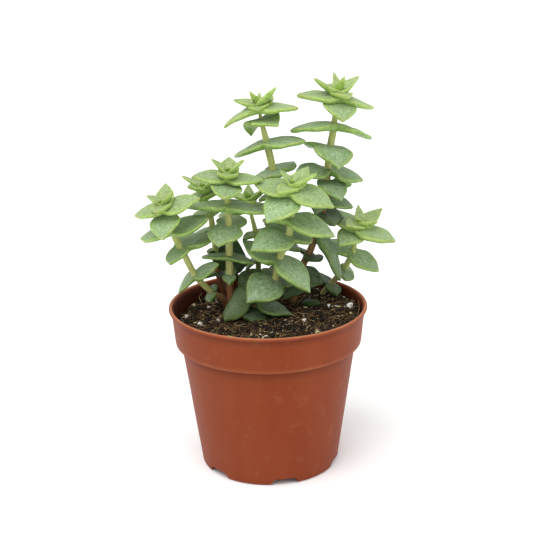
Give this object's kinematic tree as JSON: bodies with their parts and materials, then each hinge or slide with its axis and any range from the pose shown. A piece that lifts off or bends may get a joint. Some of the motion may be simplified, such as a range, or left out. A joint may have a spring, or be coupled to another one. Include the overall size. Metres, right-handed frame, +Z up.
{
  "type": "potted string of buttons",
  "caption": "String-of-buttons succulent with crosswise leaf pairs stacked on leaning stems, planted in soil in a thin tapered nursery pot.",
  "frame": {"origin": "centre of the box's underside, on the pot's axis and on the plane that the pot stands on", "axes": "+Z up along the pot's axis; -Y towards the front, the side the picture was taken from; +X to the right in the picture"},
  "size_m": [0.1366, 0.105, 0.2059],
  "materials": {
    "terracotta_plastic": "satin moulded plastic",
    "potting_soil": "crumbly damp peat with fibres and perlite",
    "leafy_stem": "fleshy leaves with a faint waxy bloom",
    "fallen_leaf": "dark fleshy leaf"
  },
  "bodies": {
    "root": {"pot": "terracotta_plastic", "soil": "potting_soil", "stem_far_left": "leafy_stem", "stem_front_left": "leafy_stem", "stem_inner_left": "leafy_stem", "stem_tall_left": "leafy_stem", "stem_tallest": "leafy_stem", "stem_centre": "leafy_stem", "stem_right": "leafy_stem", "stem_back": "leafy_stem", "fallen_leaf": "fallen_leaf"}
  },
  "joints": []
}
